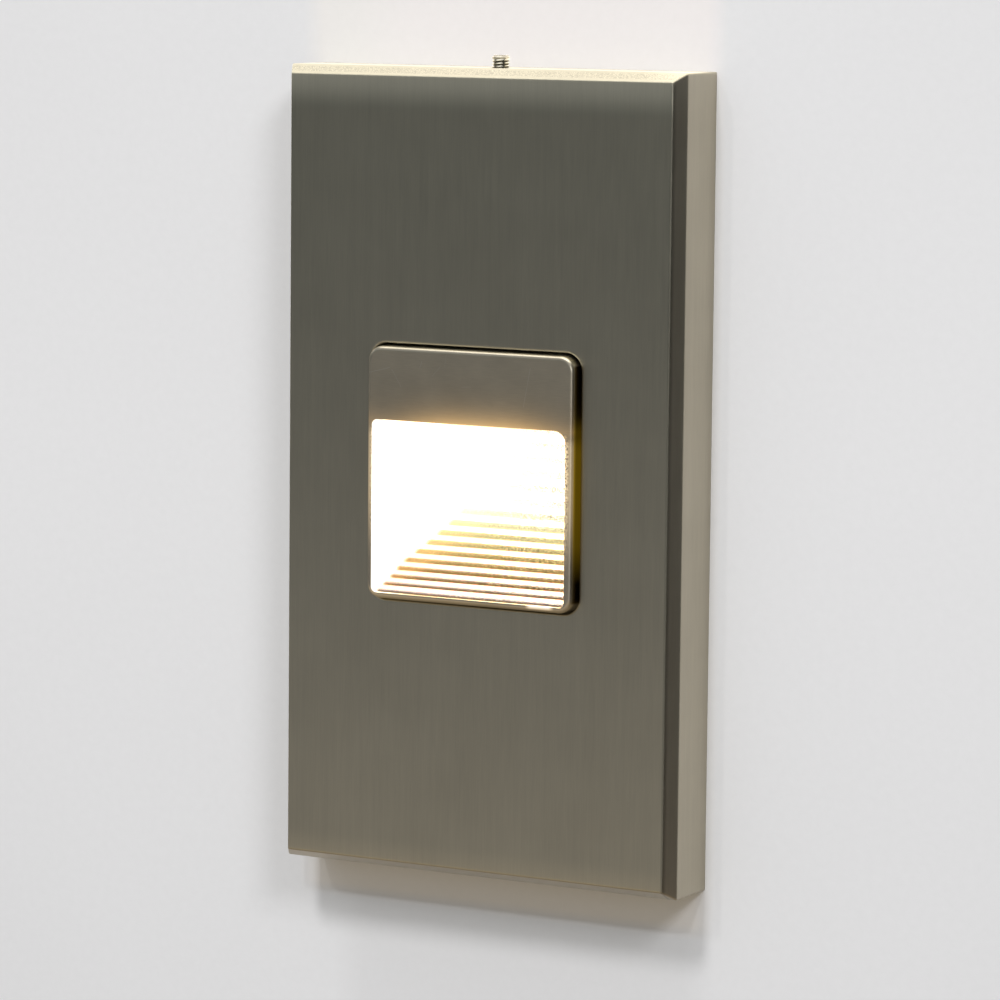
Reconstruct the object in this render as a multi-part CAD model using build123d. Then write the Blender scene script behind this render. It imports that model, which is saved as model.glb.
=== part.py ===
from build123d import *

import os
from math import cos, radians, sin

os.makedirs("parts", exist_ok=True)

# Step light for a single-gang wall box, in millimetres, +Z up.
# The origin is the middle of the two box screws, on the face of the wall.
# Depths count out of the wall: positive towards the room (-Y), negative into the wall box (+Y).

# Faceplate: a cast cover, open at the back, with a bevel all round its front
plate_width = 74.0
plate_height = 133.0
plate_side_depth = 9.8
bevel_depth = 2.6
bevel_inset = 1.45
plate_wall = 2.2
plate_face = 2.4
plate_inner_radius = 1.5
arris_radius = 0.3
collar_width = 1.6
collar_height = 1.0

# Set screw in the top wall of the faceplate, and what it pulls against
set_screw_diameter = 2.9
set_screw_length = 8.0
set_screw_stand = 2.0
set_screw_chamfer = 0.35
set_screw_socket = 1.5
set_screw_socket_depth = 1.6
set_screw_clearance = 0.05
set_screw_tip_gap = 0.1
screw_pad_width = 8.0
screw_pad_height = 2.8
screw_pad_depth = 7.4
screw_pad_radius = 2.0
foot_thickness = 2.0
foot_spacing = 10.0
foot_gap = 0.1

# Bezel: the cast nose of the light, with its hood, its tube and its flange
bezel_width = 38.6
bezel_height = 41.7
bezel_corner_radius = 2.5
bezel_edge_radius = 0.7
bezel_stand = 2.0
bezel_rim = 1.4
bezel_floor = 1.0
bezel_roof = 1.2
lip_thickness = 0.5
hood_height = 12.15
hood_thickness = 1.8
aperture_top_radius = 2.0
aperture_bottom_radius = 0.8
aperture_edge_radius = 0.15
ledge_size = 0.8
window_clearance = 0.4
window_edge_radius = 0.3
flange_side_gap = 2.2
flange_head_gap = 1.87
flange_thickness = 2.0
flange_radius = 4.0

# Scoop: a concave ramp of half-round ribs that throws the light down and out
rib_pitch = 2.4
rib_height = 0.65
floor_ribs = 8
knee_ribs = 5
floor_slope = 20.0
knee_slope = 42.0
back_slope = 86.0
scoop_sink = 0.15
scoop_wall = 1.4
scoop_clearance = 0.1
scoop_back_gap = 0.1
scoop_web_thickness = 1.2
scoop_web_spacing = 18.0

# Light chamber under the hood: lens, gasket, lamp board and heat spreader, from the bottom up
lens_thickness = 2.0
lens_clearance = 0.15
lens_gasket_thickness = 1.6
lens_gasket_width = 1.5
led_board_thickness = 1.6
led_board_depth = 17.0
led_count = 5
led_size = 3.5
led_thickness = 0.7
led_radius = 0.3
led_pitch = 6.4
led_setback = 4.0
spreader_plate = 2.5
spreader_clearance = 0.15
spreader_radius = 2.0
fin_count = 7
fin_thickness = 1.2
fin_length = 5.0
fin_pitch = 5.0
fin_height = 38.0
lead_diameter = 1.5
lead_spacing = 3.2
lead_channel_width = 6.4
lead_channel_height = 2.2
lead_overlap = 6.0

# Mounting frame: a steel stamping screwed to the wall box, with a tab bent forward at each end
wall_gasket_thickness = 0.8
wall_gasket_margin = 1.0
wall_gasket_opening_gap = 2.25
wall_gasket_screw_gap = 1.0
wall_gasket_opening_radius = 4.0
frame_thickness = 1.6
frame_side_gap = 3.0
frame_radius = 5.0
frame_opening_clearance = 0.75
frame_shoulder = 3.4
tab_width = 18.0
tab_reach = 9.3
tab_root = 1.0
bend_radius = 0.8
side_flange_length = 84.0
side_flange_height = 3.4
box_screw_spacing = 83.34
box_slot_length = 6.6
box_screw_diameter = 3.5
box_screw_length = 25.4
box_screw_neck_diameter = 3.2
box_screw_head_diameter = 7.6
box_screw_head_height = 2.2
box_screw_clearance = 0.3
ground_screw_x = 18.0
ground_screw_drop = 2.33
ground_screw_diameter = 4.8
ground_screw_length = 9.5
ground_screw_tip = 0.8
ground_screw_slot = 1.2
ground_head_across_flats = 7.9
ground_head_height = 3.2
ground_washer_diameter = 9.4
ground_washer_thickness = 0.9

# Housing behind the frame, closed by a rear cover
module_gasket_thickness = 0.8
tube_gap = 0.7
spreader_boss_gap = 0.95
housing_length = 45.0
housing_wall = 2.0
housing_radius = 3.5
boss_diameter = 6.4
boss_inset = 3.4
front_boss_length = 9.0
rear_boss_length = 11.0
spreader_boss_diameter = 4.8
spreader_boss_x = 11.0
spreader_boss_sink = 0.6
module_screw_inset = 1.0
m3_diameter = 3.0
m3_head_diameter = 5.5
m3_head_height = 1.9
m25_diameter = 2.5
m25_head_diameter = 4.5
m25_head_height = 1.6
m2_diameter = 2.0
m2_head_diameter = 3.6
m2_head_height = 1.3
screw_clearance = 0.1
screw_tip_share = 0.2
head_rim_share = 0.55
head_crown_share = 0.72
module_screw_length = 6.0
housing_screw_length = 9.0
cover_screw_length = 10.0
spreader_screw_length = 8.0
led_screw_length = 5.0
led_screw_spacing = 28.0
board_screw_length = 7.0
rear_gasket_thickness = 0.6
cover_thickness = 2.0
cover_spigot_height = 1.4
cover_spigot_width = 1.6
cover_spigot_radius = 0.6
cover_edge_radius = 0.8
cover_clearance = 0.2
grommet_z = -17.0
grommet_bore_diameter = 6.0
grommet_neck_diameter = 9.0
grommet_flange_diameter = 12.4
grommet_flange_thickness = 2.0
grommet_round = 0.7
grommet_clearance = 0.05

# Driver: a board on four pillars of the rear cover
board_clearance = 1.0
board_notch_clearance = 0.4
board_thickness = 1.6
board_gap = 8.0
board_corner_radius = 1.5
pillar_diameter = 4.8
pillar_inset_x = 6.5
pillar_inset_z = 4.0
core_width = 16.5
core_thickness = 5.5
core_length = 14.5
core_yoke = 3.0
core_limb = 3.6
core_window = 3.4
core_z = 5.0
winding_height = 11.5
winding_radius = 1.5
winding_gap = 0.3
capacitor_diameters = (10.0, 8.0)
capacitor_heights = (16.0, 12.0)
capacitor_places = ((-11.5, -7.0), (11.5, -7.0))
capacitor_groove = 0.5
capacitor_groove_height = 1.8
chip_sizes = ((6.2, 4.8, 1.6), (8.0, 6.4, 2.4), (3.2, 1.6, 0.9))
chip_places = ((-10.5, 13.5), (10.5, 14.0), (12.5, 5.0))
terminal_width = 16.0
terminal_height = 8.0
terminal_depth = 10.0
terminal_ways = 3
terminal_hole_diameter = 2.8
terminal_hole_depth = 7.0
terminal_chamfer = 1.2

# Heights and half widths that follow from the sizes above
tab_face = plate_height / 2 + set_screw_stand - set_screw_length - set_screw_tip_gap
tube_half = bezel_width / 2 - bezel_rim
tube_floor = bezel_floor - bezel_height / 2
tube_roof = bezel_height / 2 - bezel_roof
hood_bottom = bezel_height / 2 - hood_height
lens_bottom = hood_bottom + ledge_size
lens_top = lens_bottom + lens_thickness
led_board_bottom = lens_top + lens_gasket_thickness
led_board_top = led_board_bottom + led_board_thickness
chamber_half = tube_half - lens_clearance
frame_width = plate_width - 2 * plate_wall - 2 * frame_side_gap
flange_width = frame_width - 2 * (frame_thickness + flange_side_gap)
flange_height = box_screw_spacing - box_screw_head_diameter - 2 * flange_head_gap
spreader_boss_z = (bezel_height + spreader_boss_diameter) / 2 - spreader_boss_sink
housing_width = bezel_width + 2 * (tube_gap + housing_wall)
housing_height = 2 * (spreader_boss_z + spreader_boss_diameter / 2 + spreader_boss_gap + housing_wall)
boss_x = housing_width / 2 - boss_inset
boss_z = housing_height / 2 - boss_inset
frame_opening_width = housing_width + 2 * frame_opening_clearance
frame_opening_height = housing_height + 2 * frame_opening_clearance
board_width = housing_width - 2 * (housing_wall + board_clearance)
board_height = housing_height - 2 * (housing_wall + board_clearance)
pillar_x = board_width / 2 - pillar_inset_x
pillar_z = board_height / 2 - pillar_inset_z
module_screw_x = housing_width / 2 - module_screw_inset
module_screw_z = (flange_height + frame_opening_height) / 4
ground_screw_z = -box_screw_spacing / 2 - ground_screw_drop

# Depths in front of the housing
plate_depth = plate_side_depth + bevel_depth
bezel_front = plate_depth + bezel_stand
frame_back = wall_gasket_thickness
frame_front = frame_back + frame_thickness
flange_back = frame_front + module_gasket_thickness
flange_front = flange_back + flange_thickness
chamber_front = bezel_front - hood_thickness - lens_clearance
led_board_middle = chamber_front - led_board_depth / 2
led_depth = chamber_front - led_setback

# The ramp of the scoop: a floor arc, a tighter knee arc and a straight back, in whole ribs
floor_run = floor_ribs * rib_pitch
bend_run = floor_run + knee_ribs * rib_pitch


def ramp_slope(run):
    """Slope of the ramp in degrees after this run along it from its front edge."""
    if run <= floor_run:
        return floor_slope + (knee_slope - floor_slope) * run / floor_run
    if run <= bend_run:
        return knee_slope + (back_slope - knee_slope) * (run - floor_run) / (bend_run - floor_run)
    return back_slope


def ramp_point(run, lift=0.0):
    """Point of the ramp, as (Y, Z), after this run, lifted square to its surface."""
    along = lip_thickness - bezel_front
    up = tube_floor - scoop_sink
    for start, end in ((0.0, floor_run), (floor_run, bend_run)):
        low = radians(ramp_slope(start))
        high = radians(ramp_slope(end))
        here = radians(ramp_slope(min(max(run, start), end)))
        radius = (end - start) / (high - low)
        along += radius * (sin(here) - sin(low))
        up += radius * (cos(low) - cos(here))
    slope = radians(ramp_slope(run))
    rest = max(run - bend_run, 0.0)
    along += rest * cos(slope) - lift * sin(slope)
    up += rest * sin(slope) + lift * cos(slope)
    return (along, up)


def ramp_curve(lift):
    """The smooth ramp at this lift: the floor arc, the knee arc and the straight back."""
    floor_middle = ramp_point(floor_run / 2, lift)
    floor_end = ramp_point(floor_run, lift)
    knee_middle = ramp_point((floor_run + bend_run) / 2, lift)
    knee_end = ramp_point(bend_run, lift)
    floor = ThreePointArc(ramp_point(0, lift), floor_middle, floor_end)
    knee = ThreePointArc(floor_end, knee_middle, knee_end)
    back = Line(knee_end, ramp_point(ramp_run, lift))
    return [floor, knee, back]


# The back has as many ribs as fit below the hood
scoop_top = hood_bottom - scoop_clearance
back_ribs = int((scoop_top - ramp_point(bend_run)[1]) / (rib_pitch * sin(radians(back_slope))))
ramp_run = bend_run + back_ribs * rib_pitch

# Depths behind the ramp
tube_back = -ramp_point(ramp_run, -scoop_wall)[0] - scoop_back_gap
spreader_back = tube_back - spreader_plate
fin_back = spreader_back - fin_length
board_front = spreader_back - board_gap
board_back = board_front - board_thickness
housing_back = flange_back - housing_length
cover_front = housing_back - rear_gasket_thickness
cover_back = cover_front - cover_thickness

corners = [(-1, -1), (-1, 1), (1, -1), (1, 1)]
boss_places = [(i * boss_x, j * boss_z) for i, j in corners]
module_screw_places = [(i * module_screw_x, j * module_screw_z) for i, j in corners]
spreader_places = [(i * spreader_boss_x, j * spreader_boss_z) for i, j in corners]
pillar_places = [(i * pillar_x, j * pillar_z) for i, j in corners]
box_screw_places = [(0, -box_screw_spacing / 2), (0, box_screw_spacing / 2)]
led_screw_places = [-led_screw_spacing / 2, led_screw_spacing / 2]


def slab(sketch, back, front):
    """A sketch seen from the room (X across, Z up), extruded from one depth to another."""
    return extrude(Plane.XZ.offset(back) * sketch, amount=front - back)


def layer(sketch, bottom, top):
    """A sketch seen from above (X across, Y into the wall), extruded from one height to another."""
    return extrude(Plane.XY.offset(bottom) * sketch, amount=top - bottom)


def at(places, sketch):
    """Copies of a sketch, one at each place."""
    return Sketch() + [Pos(*place) * sketch for place in places]


def block(width, height, back, front, x=0, z=0):
    """A plain block between two depths, centred across on x and z."""
    return slab(Pos(x, z) * Rectangle(width, height), back, front)


def turned(profile, place, depth):
    """A (radius, depth offset) outline turned about an axis along the depth at a place."""
    x, z = place
    outline = Polyline(*profile, close=True)
    body = revolve(make_face(outline), Axis.Y)
    return Pos(x, -depth, z) * body


def pan_screw(diameter, length, head_diameter, head_height, neck_diameter=0, neck_length=0):
    """A screw along +Y with a domed pan head, seated on the origin, and a plain neck if it has one."""
    radius = diameter / 2
    head = head_diameter / 2
    tip = screw_tip_share * diameter
    neck = neck_diameter / 2
    shank = [(0, length), (radius - tip, length), (radius, length - tip), (radius, neck_length)]
    if neck_length:
        shank += [(neck, neck_length), (neck, 0)]
    crown = [
        (head, 0),
        (head, -head_rim_share * head_height),
        (head_crown_share * head, -head_height),
        (0, -head_height),
    ]
    return turned(shank + crown, (0, 0), 0)


def screws(places, seat, *sizes, from_behind=False):
    """One screw at each place, kept as separate solids; from behind, they point to the room."""
    turn = Rot(0, 0, 180) if from_behind else Rot(0, 0, 0)
    return Compound([Pos(x, -seat, z) * turn * pan_screw(*sizes) for x, z in places])


def hole(diameter):
    """The clearance hole for a screw of this diameter."""
    return Circle(diameter / 2 + screw_clearance)


def make_faceplate():
    # The flat sides, and the bevel as a ruled loft to the smaller front
    side = slab(Rectangle(plate_width, plate_height), 0, plate_side_depth)
    outline = Rectangle(plate_width, plate_height)
    front = Rectangle(plate_width - 2 * bevel_inset, plate_height - 2 * bevel_inset)
    bevel = loft([Plane.XZ.offset(plate_side_depth) * outline, Plane.XZ.offset(plate_depth) * front])
    body = side + bevel
    arrises = body.edges() - body.faces().sort_by(Axis.Y)[-1].edges()
    body = fillet(arrises, arris_radius)

    # The hollow behind, and the collar that stiffens the window
    inner = RectangleRounded(
        plate_width - 2 * plate_wall, plate_height - 2 * plate_wall, plate_inner_radius
    )
    face_back = plate_depth - plate_face
    body -= slab(inner, 0, face_back)
    window_width = bezel_width + 2 * window_clearance
    window_height = bezel_height + 2 * window_clearance
    window_radius = bezel_corner_radius + window_clearance
    window = RectangleRounded(window_width, window_height, window_radius)
    collar = RectangleRounded(
        window_width + 2 * collar_width, window_height + 2 * collar_width, window_radius + collar_width
    )
    body += slab(collar, face_back - collar_height, face_back)
    body -= slab(window, 0, plate_depth)
    mouth = body.faces().sort_by(Axis.Y)[0].inner_wires()[0].edges()
    body = fillet(mouth, window_edge_radius)

    # A pad that gives the set screw more thread
    inner_top = plate_height / 2 - plate_wall
    pad_back = (plate_side_depth - screw_pad_depth) / 2
    pad_outline = RectangleRounded(screw_pad_width, screw_pad_depth, screw_pad_radius)
    pad_face = Pos(0, -plate_side_depth / 2) * pad_outline
    pad = layer(pad_face, inner_top - screw_pad_height, inner_top)
    body += pad
    bore = Pos(0, -plate_side_depth / 2) * Circle(set_screw_diameter / 2 + set_screw_clearance)
    body -= layer(bore, inner_top - screw_pad_height, plate_height / 2)

    # Two feet that bear up under the bottom tab of the frame when the set screw is tight
    foot_top = -tab_face - foot_gap
    foot_bottom = -inner_top
    for side_sign in (-1, 1):
        body += block(
            foot_thickness,
            foot_top - foot_bottom,
            pad_back,
            plate_side_depth - pad_back,
            side_sign * foot_spacing / 2,
            (foot_top + foot_bottom) / 2,
        )
    return body


def make_set_screw():
    radius = set_screw_diameter / 2
    top = plate_height / 2 + set_screw_stand
    bottom = top - set_screw_length
    axis_place = Pos(0, -plate_side_depth / 2)
    body = layer(axis_place * Circle(radius), bottom, top)
    body = chamfer(body.edges().filter_by(GeomType.CIRCLE), set_screw_chamfer)
    socket = axis_place * RegularPolygon(set_screw_socket / 2, 6, major_radius=False)
    body -= layer(socket, top - set_screw_socket_depth, top)
    return body


def bezel_outline():
    return RectangleRounded(bezel_width, bezel_height, bezel_corner_radius)


def aperture_outline():
    height = hood_bottom - tube_floor
    face = Pos(0, (hood_bottom + tube_floor) / 2) * Rectangle(2 * tube_half, height)
    top = face.vertices().group_by(Axis.Y)[-1]
    face = fillet(top, aperture_top_radius)
    bottom = face.vertices().group_by(Axis.Y)[0]
    return fillet(bottom, aperture_bottom_radius)


def make_light_bezel():
    # The nose and tube in one run, rounded at the front
    tube = slab(bezel_outline(), tube_back, bezel_front)
    tube = fillet(tube.faces().sort_by(Axis.Y)[0].edges(), bezel_edge_radius)

    # The flange, and the bosses that carry the heat spreader
    flange = slab(RectangleRounded(flange_width, flange_height, flange_radius), flange_back, flange_front)
    bosses = slab(at(spreader_places, Circle(spreader_boss_diameter / 2)), tube_back, flange_back)
    body = tube + flange + bosses

    # The recess below the hood and the light chamber behind it
    recess = block(
        2 * tube_half,
        hood_bottom - tube_floor,
        tube_back,
        bezel_front - lip_thickness,
        0,
        (hood_bottom + tube_floor) / 2,
    )
    chamber = block(
        2 * tube_half,
        tube_roof - lens_bottom,
        tube_back,
        bezel_front - hood_thickness,
        0,
        (tube_roof + lens_bottom) / 2,
    )
    light_way = block(
        2 * (tube_half - ledge_size),
        lens_bottom - hood_bottom,
        tube_back,
        bezel_front - hood_thickness,
        0,
        (lens_bottom + hood_bottom) / 2,
    )
    body -= recess + chamber + light_way
    body -= slab(aperture_outline(), bezel_front - lip_thickness, bezel_front)
    mouth = body.faces().sort_by(Axis.Y)[0].inner_wires()[0].edges()
    body = fillet(mouth, aperture_edge_radius)

    # Screw holes
    body -= slab(at(module_screw_places, hole(m3_diameter)), flange_back, flange_front)
    body -= slab(at(boss_places, hole(m3_diameter)), flange_back, flange_front)
    depth = tube_back + spreader_screw_length
    body -= slab(at(spreader_places, hole(m25_diameter)), tube_back, depth)
    return body


def make_scoop_reflector():
    # The ribs: one half-round bead on each pitch of the ramp
    beads = []
    for number in range(floor_ribs + knee_ribs + back_ribs):
        run = number * rib_pitch
        crest = ramp_point(run + rib_pitch / 2, rib_height)
        beads.append(ThreePointArc(ramp_point(run), crest, ramp_point(run + rib_pitch)))

    # The ribbed sheet, with a plain land at its top, as wide as the tube lets in
    width = 2 * (tube_half - scoop_clearance)
    rib_end = ramp_point(ramp_run)
    back_end = ramp_point(ramp_run, -scoop_wall)
    land = Polyline(rib_end, (rib_end[0], scoop_top), (back_end[0], scoop_top), back_end)
    heel = Line(ramp_point(0, -scoop_wall), ramp_point(0))
    outline = beads + [land, heel] + ramp_curve(-scoop_wall)
    sheet = extrude(Plane.YZ * make_face(outline), amount=width / 2, both=True)

    # Two webs behind the sheet, down to the floor and back to the end of the tube
    start = ramp_point(0, -scoop_wall / 2)
    end = ramp_point(ramp_run, -scoop_wall / 2)
    web_edge = Polyline(end, (-tube_back, end[1]), (-tube_back, start[1]), start)
    web_face = make_face(ramp_curve(-scoop_wall / 2) + [web_edge])
    web = extrude(Plane.YZ * web_face, amount=scoop_web_thickness / 2, both=True)
    for side_sign in (-1, 1):
        sheet += Pos(side_sign * scoop_web_spacing / 2, 0, 0) * web
    middle = (hood_bottom + tube_floor) / 2
    room = block(width, hood_bottom - tube_floor, tube_back, bezel_front - lip_thickness, 0, middle)
    return sheet & room


def chamber_plate(width, back, front):
    """A level sketch in the light chamber between two depths."""
    return Pos(0, -(back + front) / 2) * Rectangle(width, front - back)


def make_lens():
    return layer(chamber_plate(2 * chamber_half, tube_back, chamber_front), lens_bottom, lens_top)


def make_lens_gasket():
    back = chamber_front - led_board_depth
    outer = chamber_plate(2 * chamber_half, back, chamber_front)
    inner = chamber_plate(
        2 * (chamber_half - lens_gasket_width), back + lens_gasket_width, chamber_front - lens_gasket_width
    )
    return layer(outer - inner, lens_top, led_board_bottom)


def make_led_board():
    face = chamber_plate(2 * chamber_half, chamber_front - led_board_depth, chamber_front)
    for x in led_screw_places:
        face -= Pos(x, -led_board_middle) * hole(m2_diameter)
    return layer(face, led_board_bottom, led_board_top)


def make_led_chips():
    chips = []
    for number in range(led_count):
        x = (number - (led_count - 1) / 2) * led_pitch
        face = Pos(x, -led_depth) * RectangleRounded(led_size, led_size, led_radius)
        chips.append(layer(face, led_board_bottom - led_thickness, led_board_bottom))
    return Compound(chips)


def make_led_board_screws():
    made = []
    for x in led_screw_places:
        screw = pan_screw(m2_diameter, led_screw_length, m2_head_diameter, m2_head_height)
        made.append(Pos(x, -led_board_middle, led_board_bottom) * Rot(90, 0, 0) * screw)
    return Compound(made)


def make_heat_spreader():
    # The shelf on the lamp board, the plate across the back of the tube, and its fins
    shelf_top = tube_roof - spreader_clearance
    shelf_face = chamber_plate(2 * chamber_half, tube_back, chamber_front)
    body = layer(shelf_face, led_board_top, shelf_top)
    width = housing_width - 2 * housing_wall - 2 * spreader_clearance
    height = housing_height - 2 * housing_wall - 2 * spreader_clearance
    plate = RectangleRounded(width, height, spreader_radius)
    plate -= at(boss_places, Circle(boss_diameter / 2 + spreader_clearance))
    body += slab(plate, spreader_back, tube_back)
    for number in range(fin_count):
        x = (number - (fin_count - 1) / 2) * fin_pitch
        body += block(fin_thickness, fin_height, fin_back, spreader_back, x)

    # A channel for the two leads, and the screw holes
    channel_z = led_board_top + lead_channel_height / 2
    channel_front = chamber_front - led_board_depth + lead_overlap + lead_diameter
    body -= block(lead_channel_width, lead_channel_height, fin_back, channel_front, 0, channel_z)
    body -= slab(at(spreader_places, hole(m25_diameter)), spreader_back, tube_back)
    for x in led_screw_places:
        tapped = Pos(x, -led_board_middle) * hole(m2_diameter)
        body -= layer(tapped, led_board_top, shelf_top)
    return body


def make_led_leads():
    front = chamber_front - led_board_depth + lead_overlap
    z = led_board_top + lead_diameter / 2
    leads = []
    for side_sign in (-1, 1):
        face = Pos(side_sign * lead_spacing / 2, z) * Circle(lead_diameter / 2)
        leads.append(slab(face, board_front, front))
    return Compound(leads)


def make_wall_gasket():
    width = frame_width + 2 * wall_gasket_margin
    height = 2 * (tab_face - frame_shoulder) + 2 * wall_gasket_margin
    face = RectangleRounded(width, height, frame_radius + wall_gasket_margin)
    face -= RectangleRounded(
        frame_opening_width + 2 * wall_gasket_opening_gap,
        flange_height + 2 * wall_gasket_screw_gap,
        wall_gasket_opening_radius,
    )
    face -= box_slots()
    face -= ground_hole()
    return slab(face, 0, frame_back)


def frame_opening():
    radius = housing_radius + frame_opening_clearance
    return RectangleRounded(frame_opening_width, frame_opening_height, radius)


def box_slots():
    slot_height = box_screw_diameter + 2 * box_screw_clearance
    return at(box_screw_places, SlotOverall(box_slot_length, slot_height))


def ground_hole():
    return at([(ground_screw_x, ground_screw_z)], hole(ground_screw_diameter))


def end_tab():
    """The top tab: up from the frame's sheet, then bent forward to lie under the set screw."""
    shoulder = tab_face - frame_shoulder - tab_root
    outline = Polyline(
        (-frame_back, shoulder),
        (-frame_back, tab_face),
        (-tab_reach, tab_face),
        (-tab_reach, tab_face - frame_thickness),
        (-frame_front, tab_face - frame_thickness),
        (-frame_front, shoulder),
        close=True,
    )
    face = make_face(outline)
    outer = face.vertices().sort_by_distance((-frame_back, tab_face))[0]
    face = fillet(outer, bend_radius + frame_thickness)
    inner = face.vertices().sort_by_distance((-frame_front, tab_face - frame_thickness))[0]
    face = fillet(inner, bend_radius)
    return extrude(Plane.YZ * face, amount=tab_width / 2, both=True)


def side_flange():
    """The stiffening flange bent forward along the right edge of the frame."""
    edge = frame_width / 2
    reach = frame_front + side_flange_height
    outline = Polyline(
        (edge - frame_radius, -frame_back),
        (edge, -frame_back),
        (edge, -reach),
        (edge - frame_thickness, -reach),
        (edge - frame_thickness, -frame_front),
        (edge - frame_radius, -frame_front),
        close=True,
    )
    face = make_face(outline)
    outer = face.vertices().sort_by_distance((edge, -frame_back))[0]
    face = fillet(outer, bend_radius + frame_thickness)
    inner = face.vertices().sort_by_distance((edge - frame_thickness, -frame_front))[0]
    face = fillet(inner, bend_radius)
    return layer(face, -side_flange_length / 2, side_flange_length / 2)


def make_mounting_frame():
    height = 2 * (tab_face - frame_shoulder)
    sheet = slab(RectangleRounded(frame_width, height, frame_radius), frame_back, frame_front)
    # The sheet stops short of the bends beside the side flanges
    edge_strip = bend_radius + frame_thickness
    for side_sign in (-1, 1):
        x = side_sign * (frame_width - edge_strip) / 2
        sheet -= block(edge_strip, side_flange_length, frame_back, frame_front, x)
    tab = end_tab()
    flange = side_flange()
    body = sheet + tab + mirror(tab, Plane.XY) + flange + mirror(flange, Plane.YZ)
    body -= slab(frame_opening(), frame_back, frame_front)
    body -= slab(box_slots(), frame_back, frame_front)
    body -= slab(ground_hole(), frame_back, frame_front)
    body -= slab(at(module_screw_places, hole(m3_diameter)), frame_back, frame_front)
    return body


def make_box_screws():
    return screws(
        box_screw_places,
        frame_front,
        box_screw_diameter,
        box_screw_length,
        box_screw_head_diameter,
        box_screw_head_height,
        box_screw_neck_diameter,
        frame_front,
    )


def make_ground_screw():
    place = (ground_screw_x, ground_screw_z)
    radius = ground_screw_diameter / 2
    washer = ground_washer_diameter / 2
    shank = [
        (0, ground_screw_length),
        (radius - ground_screw_tip, ground_screw_length),
        (radius, ground_screw_length - ground_screw_tip),
        (radius, 0),
        (washer, 0),
        (washer, -ground_washer_thickness),
        (0, -ground_washer_thickness),
    ]
    body = turned(shank, place, frame_front)
    head_back = frame_front + ground_washer_thickness
    hexagon = Pos(*place) * RegularPolygon(ground_head_across_flats / 2, 6, major_radius=False)
    head_top = head_back + ground_head_height
    body += slab(hexagon, head_back, head_top)
    slot_floor = head_top - ground_screw_slot
    return body - block(2 * washer, ground_screw_slot, slot_floor, head_top, *place)


def make_module_gasket():
    face = RectangleRounded(flange_width, flange_height, flange_radius) - frame_opening()
    face -= at(module_screw_places, hole(m3_diameter))
    return slab(face, frame_front, flange_back)


def housing_ring():
    """The wall of the housing seen from the room."""
    outer = RectangleRounded(housing_width, housing_height, housing_radius)
    inner_radius = housing_radius - housing_wall
    inner = RectangleRounded(
        housing_width - 2 * housing_wall, housing_height - 2 * housing_wall, inner_radius
    )
    return outer - inner


def boss_ring():
    """The wall with its four corner bosses and their screw holes."""
    outer = RectangleRounded(housing_width, housing_height, housing_radius)
    bosses = at(boss_places, Circle(boss_diameter / 2)) & outer
    return housing_ring() + bosses - at(boss_places, hole(m3_diameter))


def make_driver_housing():
    body = slab(housing_ring(), housing_back, flange_back)
    body += slab(boss_ring(), flange_back - front_boss_length, flange_back)
    body += slab(boss_ring(), housing_back, housing_back + rear_boss_length)
    body -= slab(at(boss_places, hole(m3_diameter)), flange_back - front_boss_length, flange_back)
    body -= slab(at(boss_places, hole(m3_diameter)), housing_back, housing_back + rear_boss_length)
    return body


def make_rear_gasket():
    return slab(boss_ring(), cover_front, housing_back)


def make_rear_cover():
    outline = RectangleRounded(housing_width, housing_height, housing_radius)
    body = slab(outline, cover_back, cover_front)
    body = fillet(body.faces().sort_by(Axis.Y)[-1].edges(), cover_edge_radius)

    # A spigot that fits inside the housing, cut away at the bosses
    width = housing_width - 2 * housing_wall - 2 * cover_clearance
    height = housing_height - 2 * housing_wall - 2 * cover_clearance
    rim = RectangleRounded(width, height, housing_radius - housing_wall - cover_clearance)
    rim -= RectangleRounded(
        width - 2 * cover_spigot_width, height - 2 * cover_spigot_width, cover_spigot_radius
    )
    rim -= at(boss_places, Circle(boss_diameter / 2 + cover_clearance))
    body += slab(rim, cover_front, housing_back + cover_spigot_height)

    # Pillars for the driver board
    body += slab(at(pillar_places, Circle(pillar_diameter / 2)), cover_front, board_back)
    depth = board_back - board_screw_length
    body -= slab(at(pillar_places, hole(m25_diameter)), depth, board_back)
    body -= slab(at(boss_places, hole(m3_diameter)), cover_back, cover_front)
    neck = Pos(0, grommet_z) * Circle(grommet_neck_diameter / 2 + grommet_clearance)
    body -= slab(neck, cover_back, cover_front)
    return body


def make_cable_grommet():
    bore = grommet_bore_diameter / 2
    neck = grommet_neck_diameter / 2
    flange = grommet_flange_diameter / 2
    front = -grommet_flange_thickness
    back = cover_thickness + grommet_flange_thickness
    profile = [
        (bore, front),
        (flange - grommet_round, front),
        (flange, front + grommet_round),
        (flange, 0),
        (neck, 0),
        (neck, cover_thickness),
        (flange, cover_thickness),
        (flange, back - grommet_round),
        (flange - grommet_round, back),
        (bore, back),
    ]
    return turned(profile, (0, grommet_z), cover_front)


def make_driver_board():
    face = RectangleRounded(board_width, board_height, board_corner_radius)
    # Notched, so that it passes the bosses on its way in
    face -= at(boss_places, Circle(boss_diameter / 2 + board_notch_clearance))
    face -= at(pillar_places, hole(m25_diameter))
    return slab(face, board_back, board_front)


def make_transformer_core():
    """Two E halves closed on each other, standing on the board."""
    back = board_back - core_length
    body = block(core_width, core_thickness, back, board_back, 0, core_z)
    for side_sign in (-1, 1):
        x = side_sign * (core_limb + core_window) / 2
        body -= block(core_window, core_thickness, back + core_yoke, board_back - core_yoke, x, core_z)
    return body


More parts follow.
